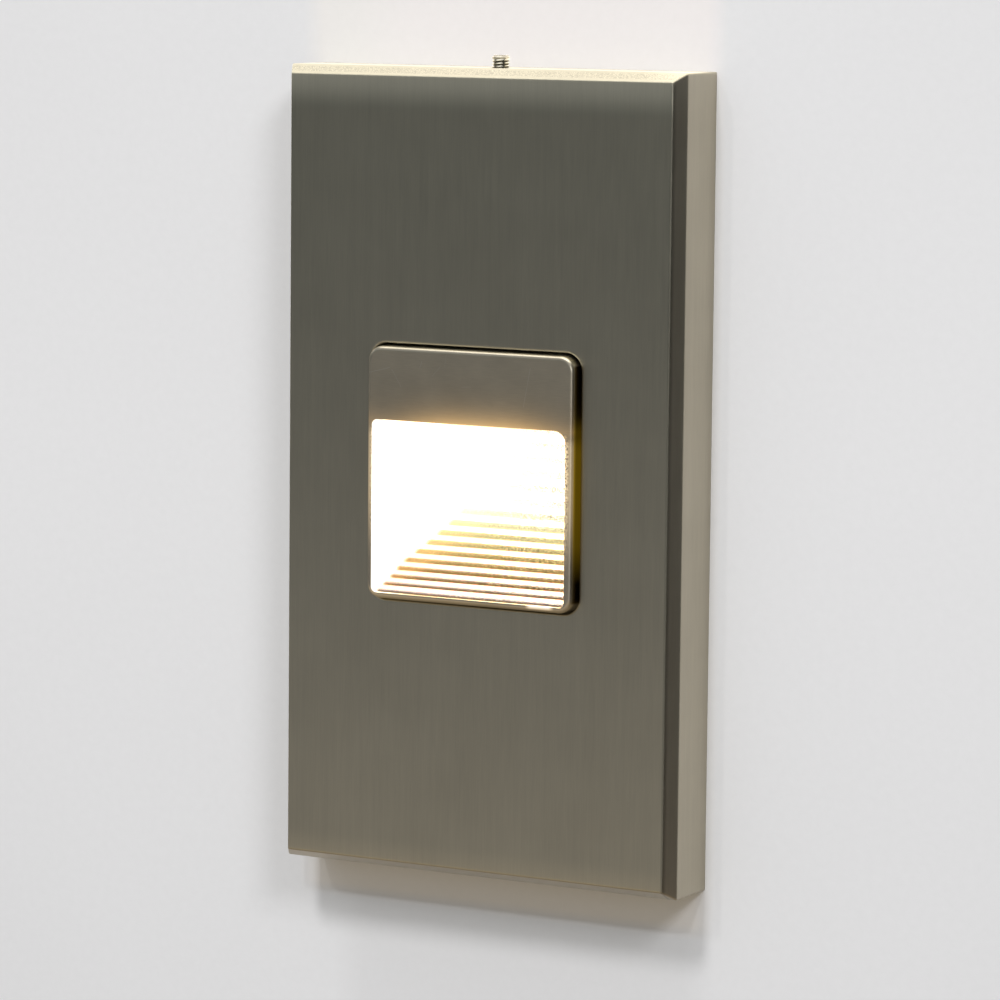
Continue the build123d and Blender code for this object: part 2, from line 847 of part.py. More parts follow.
def make_transformer_winding():
    """The coil on the middle limb, through both windows of the core."""
    width = core_limb + 2 * (core_window - winding_gap)
    outer = RectangleRounded(width, winding_height, winding_radius)
    limb = Rectangle(core_limb + 2 * winding_gap, core_thickness + 2 * winding_gap)
    back = board_back - core_length + core_yoke + winding_gap
    front = board_back - core_yoke - winding_gap
    return slab(Pos(0, core_z) * (outer - limb), back, front)


def make_driver_capacitors():
    cans = []
    for diameter, height, place in zip(capacitor_diameters, capacitor_heights, capacitor_places):
        radius = diameter / 2
        groove = capacitor_groove
        low = capacitor_groove_height
        profile = [
            (0, 0),
            (radius, 0),
            (radius, low - groove),
            (radius - groove, low),
            (radius, low + groove),
            (radius, height - groove),
            (radius - groove, height),
            (0, height),
        ]
        cans.append(turned(profile, place, board_back))
    return Compound(cans)


def make_driver_chips():
    chips = []
    for (width, height, thickness), (x, z) in zip(chip_sizes, chip_places):
        chips.append(block(width, height, board_back - thickness, board_back, x, z))
    return Compound(chips)


def make_mains_terminal():
    back = board_back - terminal_depth
    body = block(terminal_width, terminal_height, back, board_back, 0, grommet_z)
    top = body.edges().filter_by(Axis.X).sort_by(Axis.Y)[-2:]
    body = chamfer(top, terminal_chamfer)
    pitch = terminal_width / terminal_ways
    places = [((way - (terminal_ways - 1) / 2) * pitch, grommet_z) for way in range(terminal_ways)]
    return body - slab(at(places, Circle(terminal_hole_diameter / 2)), back, back + terminal_hole_depth)


m3_sizes = (m3_head_diameter, m3_head_height)
m25_sizes = (m25_head_diameter, m25_head_height)

nodes = {
    "faceplate": make_faceplate(),
    "set_screw": make_set_screw(),
    "light_bezel": make_light_bezel(),
    "scoop_reflector": make_scoop_reflector(),
    "lens": make_lens(),
    "lens_gasket": make_lens_gasket(),
    "led_board": make_led_board(),
    "led_chips": make_led_chips(),
    "led_board_screws": make_led_board_screws(),
    "led_leads": make_led_leads(),
    "heat_spreader": make_heat_spreader(),
    "heat_spreader_screws": screws(
        spreader_places, spreader_back, m25_diameter, spreader_screw_length, *m25_sizes, from_behind=True
    ),
    "wall_gasket": make_wall_gasket(),
    "mounting_frame": make_mounting_frame(),
    "box_screws": make_box_screws(),
    "ground_screw": make_ground_screw(),
    "module_gasket": make_module_gasket(),
    "module_screws": screws(module_screw_places, flange_front, m3_diameter, module_screw_length, *m3_sizes),
    "driver_housing": make_driver_housing(),
    "housing_screws": screws(boss_places, flange_front, m3_diameter, housing_screw_length, *m3_sizes),
    "rear_gasket": make_rear_gasket(),
    "rear_cover": make_rear_cover(),
    "rear_cover_screws": screws(
        boss_places, cover_back, m3_diameter, cover_screw_length, *m3_sizes, from_behind=True
    ),
    "cable_grommet": make_cable_grommet(),
    "driver_board": make_driver_board(),
    "driver_board_screws": screws(pillar_places, board_front, m25_diameter, board_screw_length, *m25_sizes),
    "transformer_core": make_transformer_core(),
    "transformer_winding": make_transformer_winding(),
    "driver_capacitors": make_driver_capacitors(),
    "driver_chips": make_driver_chips(),
    "mains_terminal": make_mains_terminal(),
}

for name, node in nodes.items():
    export_step(node, f"parts/{name}.step")
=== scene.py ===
import math

import bmesh
import bpy
from mathutils import Matrix, Vector


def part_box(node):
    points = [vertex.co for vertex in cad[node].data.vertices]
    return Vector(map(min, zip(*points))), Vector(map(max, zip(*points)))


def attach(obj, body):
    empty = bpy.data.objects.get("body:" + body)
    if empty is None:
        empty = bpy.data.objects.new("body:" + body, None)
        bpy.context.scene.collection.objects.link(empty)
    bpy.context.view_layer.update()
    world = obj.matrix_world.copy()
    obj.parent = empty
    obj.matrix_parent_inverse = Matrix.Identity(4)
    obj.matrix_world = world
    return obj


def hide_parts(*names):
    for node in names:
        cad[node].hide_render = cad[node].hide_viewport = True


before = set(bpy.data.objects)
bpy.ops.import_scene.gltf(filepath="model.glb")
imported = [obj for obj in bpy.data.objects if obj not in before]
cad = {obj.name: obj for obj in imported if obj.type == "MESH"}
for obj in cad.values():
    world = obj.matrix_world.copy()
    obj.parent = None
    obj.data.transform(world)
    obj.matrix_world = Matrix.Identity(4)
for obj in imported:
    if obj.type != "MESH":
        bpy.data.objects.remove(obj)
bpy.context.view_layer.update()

# Looks for the step light. Lengths are in metres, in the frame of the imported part:
# the wall is at y = 0, the room is on the -Y side and +Z is up.
MM = 0.001

# Camera: where the photograph was taken from, with its angles in degrees
camera_azimuth = 29.757
camera_elevation = 6.608
camera_roll = 0.560
camera_distance = 792.6 * MM
camera_aim = Vector((-2.198 * MM, 0, -4.982 * MM))
camera_lens = 172.33
camera_sensor = 36.0

# The cover, the bezel's proud part and its aperture
cover_bevel = 1.45 * MM
bezel_half = 19.3 * MM
aperture_half = 17.9 * MM
aperture_low = -19.85 * MM
aperture_high = 8.7 * MM
brushing_depth = 0.0016 * MM
bezel_scratches = [
    ((-4.6, 17.9), (-4.3, 20.0)),
    ((10.2, 12.3), (11.4, 18.6)),
    ((-19.0, 16.4), (-15.0, 17.4)),
    ((-14.6, 17.1), (-12.8, 14.3)),
    ((-6.9, 16.4), (-5.4, 18.0)),
    ((-1.4, 14.9), (0.4, 15.0)),
    ((-9.3, 17.6), (-8.9, 18.7)),
]
scratch_width = 0.05 * MM

# The lit lamps behind the lens
lamp_pitch = 6.4 * MM
lamp_reach = 9 * MM
lamp_strength = 14.0

# Threads and screws. The sharp angle is in degrees, and the twists are in radians per metre.
m3_pitch = 0.5 * MM
no6_pitch = 0.79 * MM
no10_pitch = 0.79 * MM
thread_depth_share = 0.54
thread_crest_share = 0.2
levels_per_turn = 6
turn_steps = 24
sharp_angle = 40
socket_across_flats = 1.5 * MM
socket_depth = 1.6 * MM
set_screw_chamfer = 0.3 * MM
plain_neck = 0.5 * MM
weld_distance = 0.001 * MM
twist_per_x = 400
twist_per_z = 170

# The wall. Its face stands a hair in front of y = 0, so that no back lies in the same plane.
wall_size = 3.0
wall_hole_margin = 3.0 * MM
wall_clearance = 0.02 * MM
wall_colour = (0.80, 0.814, 0.851)
wall_lit_colour = (0.822, 0.822, 0.871)

# Whites, from the one that only marks full strength to those of the lamps
white = (1.0, 1.0, 1.0)
clear_white = (1.0, 0.99, 0.98)
soft_white = (1.0, 0.975, 0.945)
warm_white = (1.0, 0.97, 0.91)


# ---------------------------------------------------------------- node graphs


class Graph:
    """The shader nodes of one material or world, built up by small calls."""

    def __init__(self, tree):
        self.tree = tree
        self.tree.nodes.clear()

    def put(self, value, socket):
        """Links or sets a socket. Colours are given as three numbers."""
        if isinstance(value, bpy.types.NodeSocket):
            self.tree.links.new(value, socket)
        elif value is not None:
            socket.default_value = (*value, 1.0) if socket.type == "RGBA" else value

    def node(self, kind, inputs=None, **settings):
        made = self.tree.nodes.new(kind)
        for name, value in settings.items():
            setattr(made, name, value)
        for name, value in (inputs or {}).items():
            self.put(value, made.inputs[name])
        return made

    def math(self, operation, *values):
        made = self.node("ShaderNodeMath", operation=operation)
        for value, socket in zip(values, made.inputs):
            self.put(value, socket)
        return made.outputs[0]

    def vector(self, operation, a, b=None, output="Vector"):
        made = self.node("ShaderNodeVectorMath", operation=operation)
        for value, socket in zip((a, b), made.inputs):
            self.put(value, socket)
        return made.outputs[output]

    def chain(self, operation, values):
        result = values[0]
        for value in values[1:]:
            result = self.math(operation, result, value)
        return result

    def product(self, *values):
        return self.chain("MULTIPLY", values)

    def total(self, *values):
        return self.chain("ADD", values)

    def largest(self, *values):
        return self.chain("MAXIMUM", values)

    def minus(self, a, b):
        return self.math("SUBTRACT", a, b)

    def size(self, value):
        return self.math("ABSOLUTE", value)

    def above(self, value, limit):
        """How far a value is above a limit, or 0."""
        return self.largest(self.minus(value, limit), 0.0)

    def below(self, value, limit):
        """How far a value is below a limit, or 0."""
        return self.largest(self.minus(limit, value), 0.0)

    def decay(self, value, length):
        """1 at 0, and 1/e at this length."""
        return self.math("EXPONENT", self.math("DIVIDE", value, -length))

    def ramp(self, value, from_low, from_high, to_low, to_high, smooth=False):
        """A value moved from one range to another, and held at its ends."""
        kind = "SMOOTHSTEP" if smooth else "LINEAR"
        inputs = {
            "Value": value,
            "From Min": from_low,
            "From Max": from_high,
            "To Min": to_low,
            "To Max": to_high,
        }
        return self.node("ShaderNodeMapRange", inputs, interpolation_type=kind).outputs["Result"]

    def within(self, value, low, high, soft):
        """1 between two values, else 0, with soft ends outside them."""
        rise = self.ramp(value, low - soft, low, 0.0, 1.0)
        fall = self.ramp(value, high, high + soft, 1.0, 0.0)
        return self.product(rise, fall)

    def place(self):
        """The point on the object, in metres, in the part's frame at rest."""
        return self.node("ShaderNodeTexCoord").outputs["Object"]

    def xyz(self, vector):
        made = self.node("ShaderNodeSeparateXYZ", {"Vector": vector})
        return made.outputs["X"], made.outputs["Y"], made.outputs["Z"]

    def noise(self, vector, scale, detail, roughness):
        inputs = {"Vector": vector, "Scale": scale, "Detail": detail, "Roughness": roughness}
        return self.node("ShaderNodeTexNoise", inputs).outputs["Fac"]

    def grain(self, size, detail=2.0, roughness=0.5):
        """Noise with grains of this size in metres."""
        return self.noise(self.place(), 1 / size, detail, roughness)

    def swing(self, noise, to_low, to_high):
        """A noise's usual range, 0.3 to 0.7, moved to another."""
        return self.ramp(noise, 0.3, 0.7, to_low, to_high)

    def mix(self, factor, a, b):
        """A colour from a to b."""
        made = self.node("ShaderNodeMix", data_type="RGBA")
        self.put(factor, made.inputs["Factor"])
        self.put(a, made.inputs["A"])
        self.put(b, made.inputs["B"])
        return made.outputs["Result"]

    def shade(self, colour, share):
        """A colour times a brightness."""
        made = self.node("ShaderNodeMix", data_type="RGBA", blend_type="MULTIPLY")
        self.put(1.0, made.inputs["Factor"])
        self.put(colour, made.inputs["A"])
        grey = self.node("ShaderNodeCombineColor", {"Red": share, "Green": share, "Blue": share})
        self.put(grey.outputs["Color"], made.inputs["B"])
        return made.outputs["Result"]

    def gradient(self, value, low, high, stops):
        """A colour by where a value lies between the ends of the stops, low and high."""
        made = self.node("ShaderNodeValToRGB", {"Fac": self.ramp(value, low, high, 0.0, 1.0)})
        elements = made.color_ramp.elements
        while len(elements) < len(stops):
            elements.new(0.5)
        for element, (place, colour) in zip(elements, stops):
            element.position = (place - low) / (high - low)
            element.color = (*colour, 1.0)
        return made.outputs["Color"]

    def bump(self, height, normal=None):
        """The normal of a surface that stands out by this height in metres."""
        inputs = {"Height": height, "Strength": 1.0, "Distance": 1.0, "Normal": normal}
        return self.node("ShaderNodeBump", inputs).outputs["Normal"]

    def light_path(self, ray):
        return self.node("ShaderNodeLightPath").outputs[ray]

    def geometry(self, name):
        return self.node("ShaderNodeNewGeometry").outputs[name]

    def surface(self, shader):
        output = self.node("ShaderNodeOutputMaterial")
        self.put(shader, output.inputs["Surface"])

    def principled(self, inputs):
        self.surface(self.node("ShaderNodeBsdfPrincipled", inputs).outputs["BSDF"])


def material(name):
    made = bpy.data.materials.new(name)
    made.use_nodes = True
    return made, Graph(made.node_tree)


def wear(node, made):
    """Gives a CAD node or a piece one material for all its faces."""
    data = cad[node].data if isinstance(node, str) else node.data
    data.materials.clear()
    data.materials.append(made)


# ---------------------------------------------------------------- materials


def streaks(graph, along, fine, length):
    """Brushing: noise drawn out along one axis, with lines this fine and this long in metres."""
    scale = [1 / fine] * 3
    scale["XYZ".index(along)] = 1 / length
    return graph.noise(graph.vector("MULTIPLY", graph.place(), scale), 1.0, 3.0, 0.6)


def scratches(graph, lines, width):
    """1 on hairlines between pairs of (x, z) points in millimetres on a front face, else 0."""
    x, _, z = graph.xyz(graph.place())
    point = graph.node("ShaderNodeCombineXYZ", {"X": x, "Y": 0.0, "Z": z}).outputs["Vector"]
    mask = 0.0
    for start, end in lines:
        start = Vector((start[0] * MM, 0, start[1] * MM))
        run = Vector((end[0] * MM, 0, end[1] * MM)) - start
        from_start = graph.vector("SUBTRACT", point, start)
        dot = graph.vector("DOT_PRODUCT", from_start, run, output="Value")
        share = graph.ramp(dot, 0.0, run.length_squared, 0.0, 1.0)
        foot = graph.node("ShaderNodeVectorMath", operation="SCALE")
        foot.inputs[0].default_value = run
        graph.put(share, foot.inputs["Scale"])
        gap = graph.vector("DISTANCE", from_start, foot.outputs["Vector"], output="Value")
        mask = graph.largest(mask, graph.ramp(gap, 0.0, width, 1.0, 0.0))
    return mask


def level_tangent(graph):
    """The level direction in the surface, across vertical brushing, and +X where the surface is level."""
    across = graph.vector("CROSS_PRODUCT", graph.geometry("Normal"), (0.0, 0.0, 1.0))
    return graph.vector("ADD", across, (1e-4, 0.0, 0.0))


def cover_tone(graph, fine):
    """The cover's brightness: its brushing, painted shade on the right arris that holds back its highlight,
    and a gritty bevel along the top.
    """
    x, _, z = graph.xyz(graph.place())
    _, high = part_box("faceplate")
    tone = graph.total(
        graph.swing(fine, 0.965, 1.035),
        graph.swing(streaks(graph, "Z", 1.1 * MM, 40 * MM), -0.02, 0.02),
        graph.swing(graph.grain(14 * MM, 3.0), -0.035, 0.035),
    )
    from_arris = graph.size(graph.minus(x, high.x - cover_bevel))
    # Painted shade: the right arris is darkened so that it shows no highlight.
    painted_arris_shade = graph.product(
        graph.ramp(from_arris, 0.10 * MM, 0.40 * MM, 0.32, 0.0),
        graph.ramp(z, high.z - 2.2 * MM, high.z - 1.7 * MM, 1.0, 0.0),
    )
    gritty = graph.product(
        graph.within(z, high.z - 1.05 * MM, high.z - 0.35 * MM, 0.15 * MM),
        graph.ramp(graph.size(x), high.x - 0.5 * MM, high.x - 0.2 * MM, 1.0, 0.0),
        graph.ramp(graph.grain(0.20 * MM), 0.35, 0.65, 0.33, -0.17),
    )
    return graph.product(tone, graph.minus(1.0, painted_arris_shade), graph.minus(1.0, gritty))


def cover_drop(graph):
    """How far the front turns back towards its top and its foot, as the arcs of two large circles."""
    top_reach = 7.5 * MM
    top_radius = 30 * MM
    foot_reach = 5.0 * MM
    foot_radius = 120 * MM
    _, _, z = graph.xyz(graph.place())
    low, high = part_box("faceplate")
    top = graph.above(z, high.z - top_reach)
    foot = graph.below(z, low.z + foot_reach)
    top_drop = graph.product(top, top, -1 / (2 * top_radius))
    foot_drop = graph.product(foot, foot, -1 / (2 * foot_radius))
    return graph.total(top_drop, foot_drop)


def brushed_cover():
    """The cover's satin nickel: upright brushing, edges rolled over by the polishing wheel."""
    arris_radius = 0.4 * MM
    made, graph = material("cover_brushed_nickel")
    fine = streaks(graph, "Z", 0.16 * MM, 6 * MM)
    height = graph.total(cover_drop(graph), graph.product(fine, brushing_depth))
    soft_edges = graph.node("ShaderNodeBevel", {"Radius": arris_radius}, samples=6).outputs["Normal"]
    graph.principled(
        {
            "Base Color": graph.shade((0.595, 0.567, 0.455), cover_tone(graph, fine)),
            "Metallic": 1.0,
            "Roughness": graph.ramp(fine, 0.2, 0.8, 0.30, 0.36),
            "Normal": graph.bump(height, soft_edges),
            "Anisotropic": 0.55,
            "Tangent": level_tangent(graph),
        }
    )
    return made


def bezel_gap_walls(graph):
    """1 on the bezel's side walls, behind their rounded front edge, else 0."""
    x, y, _ = graph.xyz(graph.place())
    low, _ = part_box("light_bezel")
    inward = graph.minus(bezel_half, graph.size(x))
    return graph.product(
        graph.ramp(inward, 0.10 * MM, 0.25 * MM, 1.0, 0.0),
        graph.ramp(y, low.y + 0.3 * MM, low.y + 0.7 * MM, 0.0, 1.0),
    )


def bezel_colour(graph, grain, gap_walls):
    """Satin nickel, painted lighter towards the top as a highlight, with hairline scratches and painted shade
    on the walls in the gap.
    """
    _, _, z = graph.xyz(graph.place())
    cloud = graph.grain(6 * MM, 3.0)
    hairlines = scratches(graph, bezel_scratches, scratch_width)
    hairlines = graph.product(hairlines, graph.ramp(cloud, 0.35, 0.60, 0.35, 0.85))
    # Painted highlight: the tone rises towards the top of the bezel.
    tone = graph.product(
        graph.total(graph.swing(grain, 0.96, 1.04), graph.swing(cloud, -0.05, 0.05)),
        graph.ramp(z, 10 * MM, 18 * MM, 1.0, 1.12),
    )
    colour = graph.mix(hairlines, graph.shade((0.645, 0.59, 0.47), tone), (0.95, 0.93, 0.88))
    # Painted shade: the side walls in the gap are painted dark brown.
    return graph.mix(gap_walls, colour, (0.12, 0.08, 0.03))


def bezel_glow(graph, gap_walls):
    """Painted lamp light, as glow, that the hood's lower edge, the rims, the sill and the side walls catch.
    """
    hood_middle = 2 * MM
    walls_strength = 0.055
    x, y, z = graph.xyz(graph.place())
    low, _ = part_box("light_bezel")
    hood = graph.product(
        graph.ramp(graph.size(graph.minus(x, hood_middle)), 4 * MM, 19 * MM, 0.58, 0.14, smooth=True),
        graph.decay(graph.above(z, aperture_high), 1.6 * MM),
        graph.ramp(z, aperture_high - 1 * MM, aperture_high, 0.0, 1.0),
    )
    beside = graph.above(graph.size(x), aperture_half)
    flecks = graph.ramp(graph.grain(0.35 * MM), 0.35, 0.65, 0.10, 1.90)
    rims = graph.product(
        graph.decay(beside, 1.1 * MM),
        graph.ramp(z, aperture_low + 4 * MM, aperture_low + 19 * MM, 0.0, 0.76, smooth=True),
        graph.ramp(z, aperture_high - 2.5 * MM, aperture_high, 1.0, 0.0),
        graph.mix(graph.ramp(beside, 0.5 * MM, 0.9 * MM, 0.0, 1.0), flecks, white),
    )
    front = graph.ramp(y, low.y + 0.4 * MM, low.y + 1.2 * MM, 1.0, 0.12)
    sill = graph.product(
        graph.decay(graph.below(z, aperture_low), 1.2 * MM),
        graph.ramp(z, aperture_low, aperture_low + 1 * MM, 1.0, 0.0),
        graph.ramp(x, -18 * MM, 2 * MM, 0.10, 0.02),
    )
    walls = graph.product(gap_walls, graph.within(z, -10 * MM, 5 * MM, 6 * MM), walls_strength)
    return graph.total(graph.product(graph.total(hood, rims), front), sill, walls)


def bezel_wash(graph):
    """1 where painted lamp light washes the bezel out: in the aperture, on its left edge, at a spot on the
    sill.
    """
    corner_in_x = 0.5 * MM
    corner_in_z = 0.9 * MM
    x, y, z = graph.xyz(graph.place())
    low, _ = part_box("light_bezel")
    aside = graph.size(x)
    inner = graph.product(
        graph.ramp(aside, aperture_half, aperture_half + 0.05 * MM, 1.0, 0.0),
        graph.ramp(y, low.y + 0.9 * MM, low.y + 1.1 * MM, 0.0, 1.0),
        graph.within(z, aperture_low, aperture_high, 0.04 * MM),
    )

    # The left edge follows a rounded outline, at an even distance from a smaller rectangle
    half_height = (aperture_high - aperture_low) / 2
    middle = (aperture_high + aperture_low) / 2
    out_x = graph.above(aside, aperture_half - corner_in_x)
    out_z = graph.above(graph.size(graph.minus(z, middle)), half_height - corner_in_z)
    away = graph.math("SQRT", graph.total(graph.product(out_x, out_x), graph.product(out_z, out_z)))
    left_edge = graph.product(
        graph.ramp(away, 0.90 * MM, 1.0 * MM, 1.0, 0.0),
        graph.ramp(x, -15 * MM, -10 * MM, 1.0, 0.0),
    )
    spot = graph.product(
        graph.within(x, 11.8 * MM, 15.2 * MM, 1.0 * MM),
        graph.ramp(graph.below(z, aperture_low), 0.15 * MM, 0.70 * MM, 0.80, 0.0),
        graph.ramp(z, aperture_low, aperture_low + 0.5 * MM, 1.0, 0.0),
    )
    in_reflections = graph.ramp(graph.light_path("Is Glossy Ray"), 0.0, 1.0, 1.0, 0.25)
    return graph.product(graph.largest(inner, left_edge, spot), in_reflections)


def satin_bezel():
    """The bezel's satin nickel: hairline scratches, a painted golden glow at the hood's edge, painted shade
    and a painted orange glow on the walls in the gap.
    """
    washed_strength = 1.3
    made, graph = material("bezel_satin_nickel")
    _, _, z = graph.xyz(graph.place())
    grain = streaks(graph, "X", 0.14 * MM, 2.5 * MM)
    gap_walls = bezel_gap_walls(graph)
    washed = bezel_wash(graph)
    under_hood = graph.ramp(z, aperture_high - 2 * MM, aperture_high, 1.0, 0.0)
    caught = graph.mix(under_hood, (1.0, 0.59, 0.20), (1.0, 0.74, 0.42))
    # Painted light: the side walls in the gap glow orange.
    caught = graph.mix(gap_walls, caught, (1.0, 0.62, 0.02))
    graph.principled(
        {
            "Base Color": bezel_colour(graph, grain, gap_walls),
            "Metallic": 1.0,
            "Roughness": graph.ramp(grain, 0.2, 0.8, 0.28, 0.34),
            "Normal": graph.bump(graph.product(grain, brushing_depth)),
            # Painted light: the glow and the wash-out are emission on the bezel, which is no lamp.
            "Emission Color": graph.mix(washed, caught, (1.0, 0.96, 0.85)),
            "Emission Strength": graph.total(
                bezel_glow(graph, gap_walls), graph.product(washed, washed_strength)
            ),
        }
    )
    return made


def scoop_wash(graph, facing_up):
    """Painted lamp light on the scoop, as emission: brown low down, white near the lamps and on the left,
    cooler on each crest.
    """
    x, _, z = graph.xyz(graph.place())
    full = (1.40, 1.30, 1.00)
    rises = [
        (0.3, (0.00, 0.00, 0.00)),
        (3.0, (0.14, 0.08, 0.00)),
        (6.0, (0.36, 0.28, 0.09)),
        (9.5, (0.66, 0.62, 0.30)),
        (14.0, full),
    ]
    stops = [(aperture_low + rise * MM, colour) for rise, colour in rises]
    wash = graph.gradient(z, aperture_low, aperture_high, stops)
    left_end = graph.ramp(z, aperture_low + 4 * MM, aperture_low + 12 * MM, -18.2 * MM, -12.4 * MM)
    on_left = graph.ramp(graph.minus(x, left_end), 0.0, 1.2 * MM, 1.0, 0.0, smooth=True)
    wash = graph.mix(on_left, wash, full)
    crest = graph.ramp(facing_up, 0.40, 0.75, 0.0, 1.0, smooth=True)
    return graph.vector("ADD", wash, graph.shade((0.20, 0.28, 0.50), crest))


def satin_scoop():
    """The scoop's bright satin plating, gritty from its casting, washed out by painted lamp light from above,
    with painted shade on faces that turn down.
    """
    pit_depth = 0.018 * MM
    made, graph = material("scoop_satin_nickel")
    x, _, _ = graph.xyz(graph.place())
    pits = graph.grain(0.22 * MM)
    gritty = graph.product(
        graph.ramp(x, -8 * MM, 6 * MM, 0.10, 0.60),
        graph.ramp(pits, 0.35, 0.65, -1.0, 0.9),
    )
    tone = graph.total(graph.swing(graph.grain(5 * MM), 0.96, 1.04), gritty)
    facing_up = graph.xyz(graph.geometry("Normal"))[2]
    # Painted shade: faces that turn down are darker.
    tone_and_underside_shade = graph.product(tone, graph.ramp(facing_up, 0.15, 0.50, 0.68, 1.0))
    graph.principled(
        {
            # The orange of the base is a painted warm tint for the lamps' light on the plating.
            "Base Color": graph.shade((0.86, 0.56, 0.32), tone_and_underside_shade),
            "Metallic": 1.0,
            "Roughness": graph.swing(pits, 0.18, 0.28),
            "Normal": graph.bump(graph.product(pits, pit_depth)),
            "Emission Color": graph.shade(scoop_wash(graph, facing_up), graph.largest(tone, 0.5)),
            "Emission Strength": 1.0,
        }
    )
    return made


def lit_lens():
    """Frosted lens over the lit lamp board: warm white, brightest under each lamp."""
    made, graph = material("lens_frosted_lit")
    x, y, _ = graph.xyz(graph.place())
    low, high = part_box("led_chips")
    across = graph.math("COSINE", graph.product(x, 2 * math.pi / lamp_pitch))
    from_row = graph.size(graph.minus(y, (low.y + high.y) / 2))
    strength = graph.product(
        graph.ramp(across, -1.0, 1.0, 0.85, 1.15),
        graph.ramp(from_row, 0.0, lamp_reach, 1.0, 0.30, smooth=True),
        graph.swing(graph.grain(0.4 * MM), 0.97, 1.03),
        lamp_strength,
    )
    graph.principled(
        {
            "Base Color": (0.93, 0.90, 0.84),
            "Roughness": 0.55,
            "Emission Color": (1.0, 0.80, 0.52),
            "Emission Strength": strength,
        }
    )
    return made


def mottled(graph, fine, cloud, contrast):
    """A brightness of about 1, which each of two noises moves this far up and down."""
    return graph.total(
        graph.swing(fine, 1 - contrast, 1 + contrast),
        graph.swing(cloud, -contrast, contrast),
    )


def plain_metal(name, colour, roughness):
    """Plated or cast metal with a fine grain in its colour, roughness and surface."""
    contrast = 0.06
    depth = 0.004 * MM
    made, graph = material(name)
    fine = graph.grain(0.3 * MM, 3.0)
    cloud = graph.grain(7 * MM, 3.0)
    graph.principled(
        {
            "Base Color": graph.shade(colour, mottled(graph, fine, cloud, contrast)),
            "Metallic": 1.0,
            "Roughness": graph.swing(cloud, roughness - 0.05, roughness + 0.07),
            "Normal": graph.bump(graph.product(fine, depth)),
        }
    )
    return made


def plain_plastic(name, colour, roughness, grain=0.35 * MM, contrast=0.08, depth=0.012 * MM):
    """Moulded plastic, rubber, foam or board, with its fine texture."""
    made, graph = material(name)
    fine = graph.grain(grain, 3.0, 0.6)
    cloud = graph.grain(9 * MM)
    graph.principled(
        {
            "Base Color": graph.shade(colour, mottled(graph, fine, cloud, contrast)),
            "Roughness": graph.swing(fine, roughness - 0.06, roughness + 0.06),
            "Normal": graph.bump(graph.product(fine, depth)),
        }
    )
    return made


def foam(name, colour):
    """Closed cell foam, with coarser and deeper cells than a moulded texture."""
    return plain_plastic(name, colour, 0.8, grain=0.5 * MM, contrast=0.25, depth=0.06 * MM)


def upright_axis(low, high):
    """A point on the upright axis through the middle of a box."""
    return Vector(((low.x + high.x) / 2, (low.y + high.y) / 2, 0))


def threaded_steel(name, node):
    """Painted highlights on the crests and the top, and painted dark shade in the roots of an upright thread.
    """
    made, graph = material(name)
    low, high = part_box(node)
    _, _, z = graph.xyz(graph.place())
    from_axis = graph.vector("SUBTRACT", graph.place(), upright_axis(low, high))
    level = graph.vector("MULTIPLY", from_axis, (1.0, 1.0, 0.0))
    radius = graph.vector("LENGTH", level, output="Value")
    outer = (high.x - low.x) / 2
    crest = graph.largest(
        graph.ramp(radius, 0.84 * outer, 0.97 * outer, 0.0, 1.0),
        graph.ramp(z, high.z - 0.1 * MM, high.z, 0.0, 1.0),
    )
    graph.principled(
        {
            # Painted highlight on the crests and the top, painted shade in the roots.
            "Base Color": graph.mix(crest, (0.11, 0.09, 0.055), (0.72, 0.69, 0.60)),
            "Metallic": 1.0,
            "Roughness": graph.ramp(crest, 0.0, 1.0, 0.45, 0.20),
        }
    )
    return made


# ---------------------------------------------------------------- pieces


def add(name, data):
    """Puts a new object with this data in the scene."""
    made = bpy.data.objects.new(name, data)
    bpy.context.scene.collection.objects.link(made)
    return made


def object_from(mesh, name):
    """Turns a bmesh into an object in the scene."""
    data = bpy.data.meshes.new(name)
    mesh.to_mesh(data)
    mesh.free()
    return add(name, data)


def ring_at(mesh, radius, z, hexagon=False):
    """Points round the axis, on a circle or on a hexagon whose corners are at this radius."""
    made = []
    for step in range(turn_steps):
        angle = 2 * math.pi * step / turn_steps
        reach = radius
        if hexagon:
            from_flat = (angle % (math.pi / 3)) - math.pi / 6
            reach = radius * math.cos(math.pi / 6) / math.cos(from_flat)
        made.append(mesh.verts.new((reach * math.cos(angle), reach * math.sin(angle), z)))
    return made


def bridge(mesh, rings):
    """Joins rings of the same count with faces."""
    for lower, upper in zip(rings, rings[1:]):
        count = len(lower)
        for step in range(count):
            after = (step + 1) % count
            mesh.faces.new((lower[step], lower[after], upper[after], upper[step]))


def threaded_rod(mesh, radius, low, high, pitch):
    """Adds a rod along +Z whose thread is one helical ridge, with open ends for a head or a tip."""
    depth = thread_depth_share * pitch
    levels = max(2, int(round((high - low) / pitch * levels_per_turn)))
    rings = []
    for level in range(levels + 1):
        z = low + (high - low) * level / levels
        ring = []
        for step in range(turn_steps):
            angle = 2 * math.pi * step / turn_steps
            phase = ((z - low) / pitch - step / turn_steps) % 1.0
            ridge = min(1.0, abs(2 * phase - 1) / (1 - thread_crest_share))
            fade = min(1.0, (high - z) / pitch, (z - low) / pitch)
            r = radius - depth * (1 - ridge) * fade
            ring.append(mesh.verts.new((r * math.cos(angle), r * math.sin(angle), z)))
        rings.append(ring)
    bridge(mesh, rings)
    return rings


def finish_mesh(mesh, name, made, body, node):
    """Turns a bmesh into a piece that stands for a CAD node and rides on its body."""
    bmesh.ops.recalc_face_normals(mesh, faces=mesh.faces)
    piece = object_from(mesh, name)
    for face in piece.data.polygons:
        face.use_smooth = True
    piece.data.set_sharp_from_angle(angle=math.radians(sharp_angle))
    wear(piece, made)
    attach(piece, body)
    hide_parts(node)


